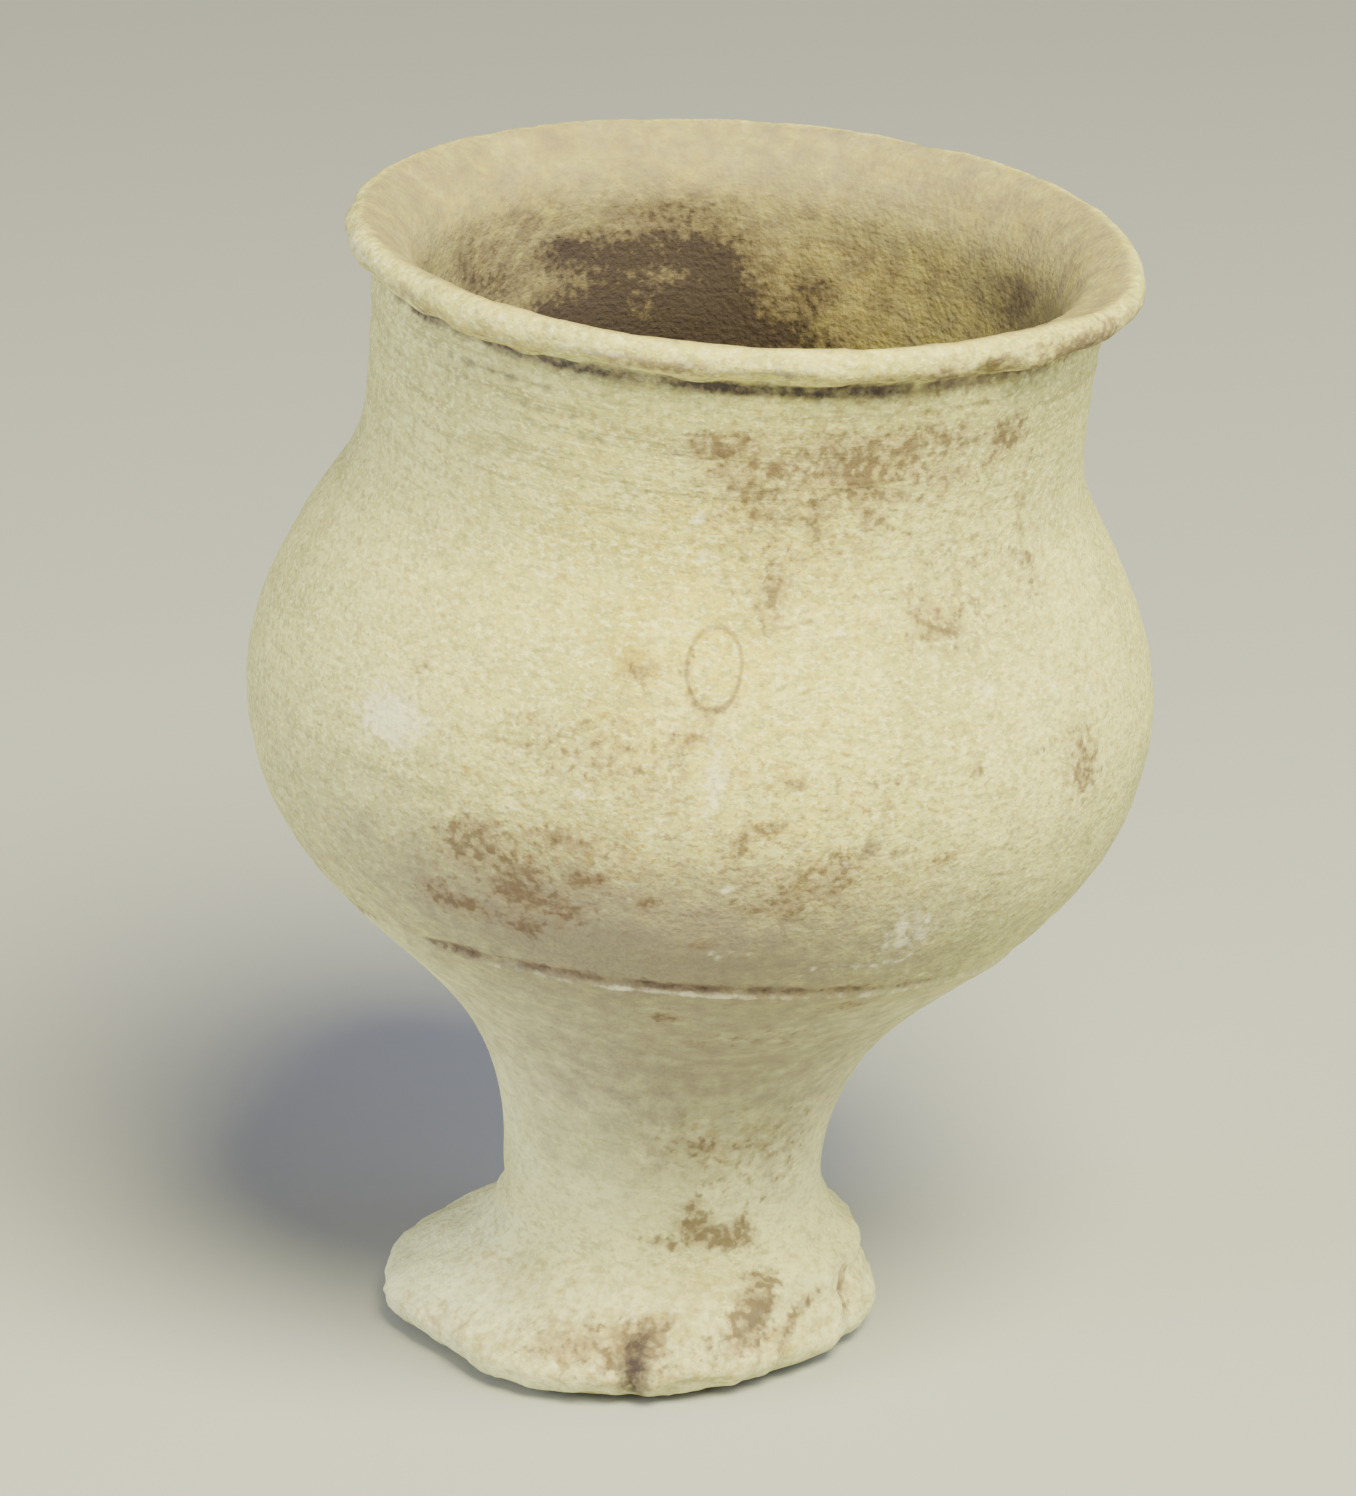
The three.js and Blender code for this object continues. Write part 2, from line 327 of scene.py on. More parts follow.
# The edge of the clay lapped over the bowl is uneven and broken. It dips at both sides.
JOINT_DIP = 1.14
CREASE_DEPTH = 0.14
CREASE_HALF = 0.35
joint_line = joint - JOINT_DIP * (1 - np.cos(2 * np.radians(front)))
joint_line += 0.22 * cloud(11, 9, ROUND) + 0.12 * cloud(12, 2.5, ROUND)
below_joint = joint_line - height
thinning = np.clip(1 - below_joint / JOINT_LAP, 0, 1) ** 2
ledge = fade(below_joint, -0.35, 0.3) * JOINT_LEDGE * thinning
ledge = ledge * (0.8 + 0.3 * cloud(13, 4, ROUND)) * (1 - 0.85 * fade(np.abs(front), 45, 75))
crease = band(below_joint, -CREASE_HALF, CREASE_HALF)
relief += outside * (ledge - CREASE_DEPTH * crease)

# The roll of the lip was folded down, and its torn lower edge overhangs a crease, which is coloured dark
# further on with dirt and painted shadow.
FOLD_DROP = 1.5
FOLD_DEPTH = 0.6
FOLD_CREASE_DROP = 2.15
lip_low = lip - 0.8 * LIP_ROLL
lip_face = outside * fade(height, lip - 1.2 * LIP_ROLL, lip - 0.7 * LIP_ROLL)
under_lip = outside * band(height, lip - FOLD_CREASE_DROP + 0.2 * cloud(34, 3, ROUND), 0.6)
torn = 0.12 * cloud(14, 6, ROUND) + 0.1 * cloud(15, 1.6, ROUND)
relief += outside * band(height, lip_low, 0.45) * (torn + 0.06)
flap = np.clip(0.5 + 0.5 * cloud(35, 5, ROUND) + 0.4 * cloud(36, 1.6, ROUND), 0, 1)
relief += outside * FOLD_DEPTH * flap * band(height, lip - FOLD_DROP, 0.5)
relief -= under_lip * (0.18 + 0.1 * cloud(16, 5, ROUND))
for at, wide, much in (
    (-45, 1.3, 0.3), (-36, 1.0, 0.2), (-22, 1.4, -0.25), (3, 1.2, -0.2),
    (13, 1.2, 0.22), (31, 2.2, 0.25), (36, 0.8, -0.3), (44, 1.6, 0.2),
):
    relief += much * blot(at, lip_low, wide, 0.55)
lip_shelf = lip_face + (1 - outside) * fade(height, lip - 2, lip - 1)
relief += lip_shelf * (0.06 * cloud(17, 1.3, 0.8) + 0.05 * cloud(32, 4, 2))

# Pits where grit fell out, thicker on the foot.
PIT_DEPTH = 0.16
SMALLEST_PIT = 0.35
PIT_FLATNESS = 0.75
grit_seed = np.random.default_rng(14)
pits = np.zeros(len(place))
for count, lowest, highest, largest in ((90, 1, lip - 3, 0.8), (60, 0.5, 9, 1.0)):
    for _ in range(count):
        size = grit_seed.uniform(SMALLEST_PIT, largest)
        at, level = grit_seed.uniform(-180, 180), grit_seed.uniform(lowest, highest)
        pits += grit_seed.uniform(0.3, 1) * blot(at, level, size, size * PIT_FLATNESS)
relief -= PIT_DEPTH * np.clip(pits, 0, 1.4)

# The foot is rough. Its front edge is scuffed and notched, its left side heaped up, and a small
# fold of clay laps over it at the right.
foot = outside * (1 - fade(height, 4, 11)) * fade(height, 0.05, 1.2)
relief += foot * (0.24 * cloud(18, 6, 3.5) + 0.18 * cloud(19, 2.4, 1.5) + 0.08 * cloud(20, 1.1, 0.8))
scuffed = blot(-17, 3.8, 4.0, 1.6)
relief += scuffed * (0.2 * cloud(21, 2.6, 0.7) - 0.3)
notch = 0.7 * blot(1.5, 2.2, 0.9, 1.4) + 0.35 * blot(-1.5, 4.5, 0.8, 0.7)
chips = 0.35 * blot(17, 1.6, 2.6, 0.8) + 0.3 * blot(44, 2.2, 2.0, 0.9) + 0.3 * blot(-52, 2.0, 5, 0.9)
heaped = 0.8 * blot(-90, 8.7, 10, 1.0) - 0.45 * blot(-90, 6.4, 8, 0.9) + 0.4 * blot(88, 9.8, 8, 2.0)
fold = 0.55 * blot(78, 2.9, 3.6, 2.0) - 0.45 * blot(65, 4.2, 0.8, 2.2, -14)
fold -= 0.3 * blot(82, 5.6, 2.4, 0.5)
relief += heaped + fold - notch - chips

# The lip is nicked.
nicks = 0.4 * blot(-84, lip + 0.4, 1.2, 0.9) + 0.35 * blot(-97, lip + 0.8, 1.5, 0.8)
nicks += 0.3 * blot(-70, lip - 0.6, 1.0, 0.8) + 0.25 * blot(66, lip - 1.0, 1.5, 0.7)
nicks += 0.3 * blot(150, lip + 0.6, 2.2, 0.9) + 0.25 * blot(-160, lip, 1.6, 0.8)
relief -= nicks

# An oval print with a sunk outline, just above the belly.
PRINT_AT = -0.5
PRINT_LEVEL = 61.1
PRINT_ACROSS = 1.85
PRINT_UP = 2.55
PRINT_SUNK = 0.1
PRINT_LINE = 0.17
print_across = np.radians(apart(front, PRINT_AT)) * radius / PRINT_ACROSS
print_up = (height - PRINT_LEVEL) / PRINT_UP
print_ring = np.hypot(print_across, print_up) * (1 + 0.05 * cloud(38, 2.5, 2.5))
print_ring += 9 * (1 - outside)  # so that it is on the outside only
print_line = band(print_ring, 1, PRINT_LINE)
relief -= PRINT_SUNK * print_line

# A flat underside, cut from the wheel with a cord that left shallow curved ridges.
CORD_STEP = 1.7
CORD_DEPTH = 0.1
CORD_CENTRE = (22, -6)
underside = (1 - fade(height, 0.02, 0.5)) * (1 - fade(radius, 11.5, 13.2))
cord = np.hypot(place[:, 0] - CORD_CENTRE[0], place[:, 1] - CORD_CENTRE[1]) / CORD_STEP
cut = underside * outside * CORD_DEPTH * (1 - np.cos(2 * math.pi * cord)) / 2

turned_place = place + normal * relief[:, None]
turned_place[:, 2] = np.maximum(turned_place[:, 2], 0) + cut
radius_now = np.hypot(turned_place[:, 0], turned_place[:, 1])
height_now = turned_place[:, 2]

# Then the lip warps, the foot wears and the whole leans.
lip_share = fade(height_now, lip - LIP_SETTLE, lip)
foot_share = 1 - fade(height_now, NOSE_HEIGHT, waist)
stem_share = fade(height_now, NOSE_HEIGHT + FOOT_BLEND, waist - STEM_BLEND)
inner_share = np.minimum(1, radius_now / WAIST_RADIUS)
degrees = np.degrees(azimuth)
worn = FOOT_WORN * band(apart(degrees, WORN_AZIMUTH), 0, WORN_SPREAD)
oval = lip_share * LIP_OVAL * np.cos(2 * np.radians(degrees - OVAL_AZIMUTH))
fat_side = band(apart(degrees, BULGE_AZIMUTH), 0, BULGE_SPREAD)
fat_side = fat_side * fade(radius_now, NECK_RADIUS - 1, NECK_RADIUS)
bulge = LIP_BULGE * fat_side * fade(height_now, lip - BULGE_REACH, lip - LIP_ROLL)
grown = radius_now + inner_share * (oval - foot_share * worn) + bulge
wave = LIP_WAVE * np.cos(2 * np.radians(degrees - WAVE_AZIMUTH))
tilted = LIP_TILT * np.cos(np.radians(degrees - TILT_AZIMUTH))
raised = height_now + lip_share * (wave + tilted)
across = grown * np.cos(azimuth) + lip_share * LIP_SHIFT
slump = FOOT_SLUMP * hump(height_now, NOSE_HEIGHT, waist)
bow = BOWL_BOW * hump(height_now, waist, shoulder)
shift = slump - bow + stem_share * (STEM_OFFSET + raised * math.sin(LEAN))
settled = np.stack(
    [
        shift + across * np.cos(LEAN * stem_share),
        grown * np.sin(azimuth),
        raised * (1 + (math.cos(LEAN) - 1) * stem_share) - across * np.sin(LEAN * stem_share),
    ],
    -1,
)
goblet_mesh.vertices.foreach_set("co", (settled * MM).astype(np.float32).ravel())
goblet_mesh.polygons.foreach_set("use_smooth", np.ones(len(goblet_mesh.polygons), bool))
goblet_mesh.update()


def keep_for_clay(name, amount):
    """Keeps how much of a stain, of painted shade or of painted light lies at each vertex, for the clay's
    material.
    """
    layer = goblet_mesh.attributes.new(name, "FLOAT", "POINT")
    layer.data.foreach_set("value", np.clip(amount, 0, 2).astype(np.float32))


def spots(marks, inside=False):
    """Spots together: direction, level, half width, half height and strength of each."""
    return sum(much * blot(at, level, wide, tall, inside=inside) for at, level, wide, tall, much in marks)


joint_dirt = np.clip(0.9 * cloud(26, 5, ROUND) + 0.5 * cloud(27, 1.6, ROUND), 0, 1)
joint_dirt *= fade(np.abs(front), 40, 60)
joint_dirt += 0.4 * between(-42, 40)
for start, end, much in ((-42, -31, 0.8), (-24, -13, 1), (-8, 7, 0.85), (8.5, 13, 0.7), (15, 27, 0.9)):
    joint_dirt += much * between(start, end)
joint_stain = outside * band(below_joint, -0.4, 0.45) * np.clip(joint_dirt, 0, 1.2)
joint_stain *= 0.8 + 0.4 * cloud(28, 1.5, ROUND)

# Red-brown scale: thickly spotted below the lip at the right and low on the bowl at the left, with a
# trail between them, a stain at the far right, and marks on the stem and the foot
rust = spots((
    (14, 74.6, 9, 3.6, 0.36), (36, 75, 8, 3, 0.32), (38, 66, 8, 5, 0.27), (8, 69, 5, 5, 0.27),
    (-13, 55, 8, 2.6, 0.38), (-25, 44.5, 8, 4, 0.3), (14, 47, 7, 2.4, 0.28),
    (42, 80.6, 10, 1.3, 0.6), (-48, 80.9, 8, 0.8, 0.5), (-4.5, 76, 1.43, 1.09, 0.8),
    (1, 76.5, 1.05, 0.7, 0.8), (-1.5, 74.7, 0.93, 1.22, 0.8), (2.5, 73.3, 0.93, 1.35, 0.8),
    (6.5, 74.5, 1.68, 0.57, 0.7), (18.5, 75.7, 2.6, 1, 0.8), (21, 74.2, 1.43, 1.48, 0.8),
    (20.5, 73, 0.93, 0.96, 0.6), (16, 74.2, 1.55, 0.7, 0.6), (27, 75.8, 1.55, 0.7, 0.7),
    (33, 76.5, 1.93, 0.7, 0.6), (45.5, 75.4, 1.18, 1.22, 0.7), (49.5, 76, 1.05, 1.09, 0.6),
    (7.5, 71.2, 2.8, 0.44, 0.7), (23.5, 70.8, 1.18, 0.83, 0.6), (7, 65.8, 0.93, 1.87, 0.7),
    (33.5, 63.3, 2.05, 1.22, 0.7), (53, 71.5, 0.93, 2.39, 0.5), (54, 65.2, 1.05, 2, 0.5),
    (55.5, 52.2, 1.9, 2.3, 1), (-29, 46.9, 2.05, 1.48, 1.1), (-26.5, 48.6, 1.05, 0.57, 1),
    (-18, 48.9, 1.18, 0.83, 1.1), (-13, 48.6, 1.8, 0.51, 0.9), (-23.5, 45.8, 0.8, 1.61, 1),
    (-22.5, 43.8, 1.55, 0.83, 1.1), (-20.5, 45.6, 0.68, 1.09, 0.7), (-35, 42.2, 0.93, 0.96, 1),
    (-31, 41.6, 2.17, 0.7, 1.1), (-22.5, 41.2, 1.05, 0.96, 1.1), (-20, 41.2, 0.93, 0.57, 0.8),
    (-16.5, 43.2, 0.93, 0.96, 0.9), (-19.5, 43.6, 1.18, 0.51, 0.7), (-14, 46.1, 0.8, 0.57, 1),
    (-12, 46.2, 0.68, 0.57, 1), (-6.5, 44.7, 0.8, 0.57, 0.9), (4.5, 49.8, 0.68, 0.7, 1.1),
    (7.4, 50.9, 1.68, 0.57, 0.9), (31, 48.2, 1.18, 0.57, 1), (16.5, 48.5, 2.17, 0.7, 0.8),
    (12.3, 46.7, 0.8, 0.96, 0.9), (8.8, 45.1, 2.05, 0.57, 0.9), (17, 46.8, 0.93, 0.57, 0.8),
    (10.5, 54.2, 0.8, 0.57, 0.9), (-10.5, 60.3, 1.05, 0.83, 0.8), (-3, 56.5, 0.8, 0.64, 0.8),
    (-41.5, 57.7, 0.55, 0.7, 1), (35.5, 54.3, 0.68, 0.96, 0.7), (-2.5, 33.3, 1.18, 0.57, 1),
    (26, 35, 1.55, 0.57, 0.7), (1.5, 41.8, 0.8, 0.57, 0.8), (24, 54, 2.05, 0.34, 0.6),
    (12, 18, 5, 4, 0.26), (42, 17, 3, 4, 0.3), (11, 18.4, 0.93, 0.83, 0.6), (15, 31, 7, 2.2, 0.2),
    (12, 12.6, 1.05, 1.35, 1.2), (11, 11.7, 1.3, 0.7, 1), (18, 11.2, 1.43, 0.7, 1.2),
    (23, 10.6, 1.3, 0.64, 1.2), (30, 11.3, 0.8, 1.35, 1.1), (0.5, 10.5, 1.8, 0.64, 0.7),
    (28.3, 5.4, 1.7, 1.7, 2.0), (31.5, 7.4, 1.18, 0.83, 0.9), (0.5, 4.4, 1.7, 1.5, 1.5),
    (-15, 4.4, 4.4, 1.5, 0.55), (14, 3.6, 3, 1.2, 0.35),
))
rust += 1.1 * blot(41, 4.0, 0.6, 1.3, -35) + 1.0 * blot(47, 5.3, 1.6, 0.5, 20)
rust += 1.0 * blot(66, 4.6, 0.7, 1.8, -20) + 0.45 * blot(48, 54.5, 2.4, 0.3, 6)
rust += 0.9 * joint_stain
crusted = 0.3 + 0.5 * between(-22, -5) + 0.4 * between(5, 21) + 0.5 * between(28, 62)
crust = outside * band(height, lip - 0.55 + 0.35 * cloud(39, 6, ROUND), 0.5)
rust += crust * crusted * np.clip(0.8 + 0.9 * cloud(40, 3.5, 1.0), 0, 1.4)
lip_blots = blot(40, lip - 0.3, 9, 0.9) + 0.8 * blot(60, lip - 0.2, 4, 1.0)
rust += lip_blots * np.clip(0.4 + cloud(41, 2.5, 1.0), 0, 1)
rust += 0.8 * print_line * np.clip(0.2 - 0.7 * print_up - 0.4 * print_across, 0, 1)
far_side = np.clip(0.5 * cloud(22, 26, 18) + 0.25 * cloud(23, 9, 7), 0, 1) * fade(np.abs(front), 60, 110)
rust += 0.42 * outside * far_side
RUST_MOST = 1.2
RUST_GAIN = 1.3
keep_for_clay("rust", RUST_MOST * (1 - np.exp(-RUST_GAIN * rust)))
keep_for_clay("print_ring", print_ring)

# Dark soil: under the lip, along the joint, in the pits and notches, and in the bowl. Under the
# overhanging lip the dark line is painted shadow as well as soil.
lip_dirt_and_shade = 0.95 + 0.4 * cloud(24, 6, ROUND) + 0.25 * cloud(25, 2, ROUND)
for start, end, much in (
    (-62, -34, 0.25), (-32, -17, 0.55), (-12, -2, 0.45), (5, 25, 0.75), (25, 60, -0.2),
):
    lip_dirt_and_shade += much * between(start, end)
soil_and_shade = under_lip * np.clip(lip_dirt_and_shade, 0, 1.3) + 0.22 * lip_face * fade(cloud(33, 3, 1.2), 0, 0.6)
soil_and_shade += 0.7 * joint_stain
for level, at, wide in ((76.7, -28, 22), (75.4, -20, 16), (78.3, -40, 18)):
    soil_and_shade += 0.62 * outside * band(front, at, wide) * band(height, level + wander, 0.28)
soil_and_shade += 0.3 * np.clip(pits, 0, 1) * fade(cloud(29, 6, 6), -0.1, 0.5)
soil_and_shade += spots((
    (20.5, 49.5, 0.8, 0.6, 1.0), (25.5, 48.9, 1.3, 0.3, 0.7), (-4, 80.2, 1.6, 0.5, 0.5),
    (0.3, 44.3, 0.9, 0.25, 0.8), (12.6, 44.1, 1.1, 0.35, 0.7), (28.3, 5.4, 1.5, 1.5, 0.5),
    (1.5, 3.2, 1.2, 1.4, 1.4), (-1.5, 4.8, 0.8, 0.7, 0.9), (2, 1.5, 1.2, 0.7, 0.9),
    (31, 81.7, 1.0, 0.4, 0.5), (35.5, 81.9, 0.6, 0.5, 0.6), (56, 81.9, 1.4, 0.6, 0.5),
    (-2.5, 33.3, 0.7, 0.3, 0.4),
))
soil_and_shade += 0.5 * blot(-28.5, 73.7, 0.9, 0.25, 40) + 0.5 * blot(-9.5, 65.6, 0.7, 0.25, 40)
soil_and_shade += 0.5 * blot(58, 62.2, 1.2, 0.25, -60) + 0.4 * blot(43.5, 49, 0.25, 0.8, -15)
soil_and_shade += spots((
    (-167, 70.4, 10.5, 4.6, 1.15), (-163, 74.8, 4.6, 1.4, 0.8), (-176, 74.2, 2.6, 1.6, 0.6),
    (180, 70.5, 2.0, 3.6, 0.5), (-172, 71.4, 2.6, 0.9, 0.4), (-158, 71.5, 1.8, 2.6, 0.3),
    (-166, 67.6, 7.0, 1.6, 0.4), (-146, 69.5, 3.4, 1.8, 0.9), (-148, 74.9, 2.6, 1.1, 1.0),
    (-169, 73.0, 1.5, 0.7, -0.6), (-164, 70.6, 1.4, 0.8, -0.4), (-170, 77.8, 5.5, 1.6, 0.6),
    (163, 72.2, 1.6, 1.3, 0.6), (150, 72, 1.0, 1.1, 0.5), (168, 68.8, 4.0, 1.2, 0.8),
    (-121, 75.8, 1.6, 2.8, 0.35), (-130, 73.4, 3.0, 1.2, 0.55), (114, 77, 1.6, 2.0, 0.35),
    (155, 75.5, 8, 3, 0.3), (-140, 78, 5, 2.2, 0.3), (-60, 66, 10, 7, 0.5), (30, 64, 12, 8, 0.5),
    (90, 60, 12, 8, 0.5), (180, 63, 16, 3.5, 0.8), (-126, 75.0, 5.0, 3.5, 0.35),
    (120, 76, 5.0, 2.6, 0.4),
), inside=True) * 1.3
soil_and_shade += 0.75 * (1 - outside) * (1 - fade(height, 48, 64)) * np.clip(0.6 + 0.6 * cloud(30, 12, 9), 0, 1)
keep_for_clay("soil_and_shade", soil_and_shade)

# Ochre tints, mostly at the edge of the foot and left of the print
keep_for_clay("ochre", spots((
    (-12, 61.3, 1.8, 1.1, 0.8), (-24, 65, 0.9, 0.9, 0.8), (-2, 57, 0.6, 0.6, 1.0),
    (-19, 62, 1.3, 0.8, 0.6), (-30, 52, 1.1, 0.8, 0.6), (-9, 57.5, 5, 3, 0.35),
    (-14, 48, 9, 3, 0.3), (-40, 81.6, 7, 1.0, 0.5), (-15, 4.4, 5, 1.8, 0.9),
    (40, 3.4, 7, 1.6, 0.55), (-50, 3, 8, 1.3, 0.6), (21, 19, 6, 3, 0.35), (12, 8, 3, 1.5, 0.4),
    (-60, 6.5, 7, 1.0, 0.4), (-20, 8, 6, 0.8, 0.35), (14, 2.0, 8, 1.0, 0.55),
    (75, 4.5, 5, 2.0, 0.5), (16, 5.5, 7, 2.0, 0.35),
)))

# Rubbed and limy places, paler than the rest, and a painted highlight along the ledge of the joint
pale = spots((
    (-43.5, 53.6, 3.0, 2.0, 1.4), (-37, 54.4, 1.2, 0.7, 0.45), (0.6, 54.2, 0.9, 3.2, 0.9),
    (60, 56.9, 0.7, 0.6, 0.8), (39, 59, 1.3, 1.1, 0.8), (52, 58, 0.9, 0.9, 0.6),
    (27.5, 42.4, 1.0, 2.4, 0.9), (31, 41.8, 0.9, 2.2, 0.8), (23, 39.6, 3.2, 0.6, 0.55),
    (4, 41, 2.4, 0.7, 0.35), (-75, 82.6, 5, 1.2, 0.5), (-16, 82.6, 14, 0.8, 0.35),
    (-21, 76.9, 5, 0.3, 0.3), (-47, 77.9, 5, 0.3, 0.3), (20, 48.4, 4, 0.3, 0.35),
))
for at, level in (
    (-4.5, 70.6), (-3, 68), (17.5, 63.4), (-23.5, 50.2), (-15.5, 52.2), (3.5, 46.5), (-28, 65),
):
    pale += 1.3 * blot(at, level, 0.4, 0.4)
# A painted highlight: a thin light line on the top of the lapped ledge, where the light catches it
painted_ledge_highlight = outside * band(below_joint, 0.12, 0.2) * band(front, 8, 36)
pale += painted_ledge_highlight * (0.85 + 0.5 * cloud(31, 5, ROUND))
pale += 0.12 * lip_face
keep_for_clay("pale", pale)

# The lip and the inside are yellower than the green-grey bowl, and the stem and foot creamier
warm = 1 - outside + 0.85 * blot(-3, 62, 17, 18) + 0.3 * blot(0, 2, 22, 8) + 0.4 * lip_face
warm += 0.5 * np.clip(cloud(37, 11, 7), 0, 1) * blot(-4, 58, 18, 14)
warm += 0.5 * blot(-46, lip_low, 4, 0.9)
keep_for_clay("warm", warm)
wiped = outside * fade(height, 5, 14) * (1 - fade(height, joint - 4, joint))
# On the foot, and most in the blot at its shaded left side, the cream is partly painted light as well as
# paler clay
keep_for_clay("cream", 0.5 * wiped + 0.72 * foot + 0.5 * blot(-75, 5, 8, 3))

# A thin film of soil and painted shade greys the front of the stem, the lowest part of the bowl and the
# inside.
# The stem in the bowl's shadow, the low bowl that faces down and the hollow of the bowl are painted
# darker as shade as well as soiled.
film_and_shade = 1.5 * blot(4, 26, 22, 10) + 1.7 * blot(-8, 41.5, 30, 8) + 0.3 * blot(12, 74, 12, 4)
keep_for_clay("film_and_shade", film_and_shade + 1.3 * (1 - outside))

# Coarse ochre grit shows most across the lower front of the bowl, least on the wiped stem and foot
grit = 0.35 + 0.65 * blot(4, 49, 22, 9) + 0.35 * blot(10, 72, 16, 8) - 0.15 * smooth_stem
keep_for_clay("grit", grit - 0.15 * foot)

# Fine wheel lines, darkest on the neck and all but wiped away on the stem
keep_for_clay("sandy", 0.35 + 0.65 * outside - 0.45 * foot - 0.35 * smooth_stem)
on_top = on_neck * (0.35 + 0.65 * band(front, -30, 45)) * (0.4 + 0.6 * fade(height, 70, 76))
keep_for_clay("lined", 0.28 + 0.9 * on_top - 0.15 * (1 - thrown) * outside)


def linear(code):
    """A linear colour from an sRGB hex value."""
    parts = [int(code[i : i + 2], 16) / 255 for i in (1, 3, 5)]
    return (*(p / 12.92 if p <= 0.04045 else ((p + 0.055) / 1.055) ** 2.4 for p in parts), 1)


def lay(tree, kind, sockets, **settings):
    """Adds a node to a material, with its settings, its values and its links."""
    made = tree.nodes.new(kind)
    for name, value in settings.items():
        setattr(made, name, value)
    for socket, value in sockets.items():
        if isinstance(value, bpy.types.NodeSocket):
            tree.links.new(value, made.inputs[socket])
        else:
            made.inputs[socket].default_value = value
    return made


# Unglazed calcareous earthenware, thrown and wiped wet: matt, with a fine green-cream mottle,
# rusty and grey grit, lines round it from the wheel, and soil dried into every hollow, with painted
# shade under the lip, on the stem, on the low bowl and inside, and a painted highlight on the joint's
# ledge.
CLAY = "#d2d087"
CLAY_LIGHT = "#e9e8a8"
CLAY_GREEN = "#9fa06a"
CLAY_WARM = "#d1c466"
CLAY_CREAM = "#f4f3c6"
FILM_AND_SHADE = "#80756b"
OCHRE = "#a08433"
UMBER = "#7c673f"
WHEEL_SHADE = "#8f8757"
RUST_HALO = "#8d775c"
RUST = "#5d493b"
SOIL_AND_SHADE_HALO = "#6d6055"
SOIL_AND_SHADE = "#40363a"
LIME_AND_HIGHLIGHT = "#f0edcf"

clay = bpy.data.materials.new("unglazed_calcareous_earthenware")
clay.use_nodes = True
tree = clay.node_tree
tree.nodes.clear()
spot = lay(tree, "ShaderNodeTexCoord", {}).outputs["Object"]
upright = lay(tree, "ShaderNodeMapping", {"Vector": spot, "Rotation": (0, -LEAN, 0)}).outputs[0]
combed = lay(tree, "ShaderNodeMapping", {"Vector": upright, "Scale": (0.05, 0.05, 1)}).outputs[0]
streaked = lay(tree, "ShaderNodeMapping", {"Vector": upright, "Scale": (0.6, 0.6, 1)}).outputs[0]
kept = {
    name: lay(tree, "ShaderNodeAttribute", {}, attribute_name=name).outputs["Fac"]
    for name in (
        "rust", "soil_and_shade", "pale", "warm", "cream", "film_and_shade",
        "grit", "lined", "sandy", "ochre", "print_ring",
    )
}

# The clay's own tints, each laid over the last. First the even ones, then those of the grain: the
# size in millimetres and the detail, from what noise value it starts and is full, its strength,
# and the attribute that it follows
colour = linear(CLAY)
for tint, name in ((CLAY_WARM, "warm"), (CLAY_CREAM, "cream")):
    mixed = {0: kept[name], 6: colour, 7: linear(tint)}
    colour = lay(tree, "ShaderNodeMix", mixed, data_type="RGBA").outputs[2]
for tint, vector, size, detail, low, high, strength, follows in (
    (CLAY_GREEN, upright, 9.0, 3, 0.46, 0.64, 0.35, None),
    (CLAY_LIGHT, upright, 2.6, 4, 0.46, 0.66, 0.30, None),
    (WHEEL_SHADE, combed, 0.8, 3, 0.48, 0.68, 0.70, "lined"),
    (CLAY_GREEN, streaked, 0.5, 4, 0.48, 0.64, 0.60, "sandy"),
    (CLAY_LIGHT, streaked, 0.35, 3, 0.50, 0.64, 0.70, "sandy"),
    (UMBER, streaked, 0.4, 3, 0.52, 0.66, 0.65, "grit"),
    (OCHRE, spot, 0.45, 3, 0.55, 0.68, 0.75, "grit"),
    (LIME_AND_HIGHLIGHT, spot, 0.5, 1, 0.68, 0.76, 0.50, "grit"),
):
    sockets = {"Vector": vector, "Scale": 1 / (size * MM), "Detail": detail, "Roughness": 0.6}
    noise = lay(tree, "ShaderNodeTexNoise", sockets).outputs[0]
    limits = {0: noise, 1: low, 2: high, 4: strength}
    cover = lay(tree, "ShaderNodeMapRange", limits, interpolation_type="SMOOTHSTEP").outputs[0]
    if follows:
        share = {0: cover, 1: kept[follows]}
        cover = lay(tree, "ShaderNodeMath", share, operation="MULTIPLY").outputs[0]
    mixed = {0: cover, 6: colour, 7: linear(tint)}
    colour = lay(tree, "ShaderNodeMix", mixed, data_type="RGBA").outputs[2]

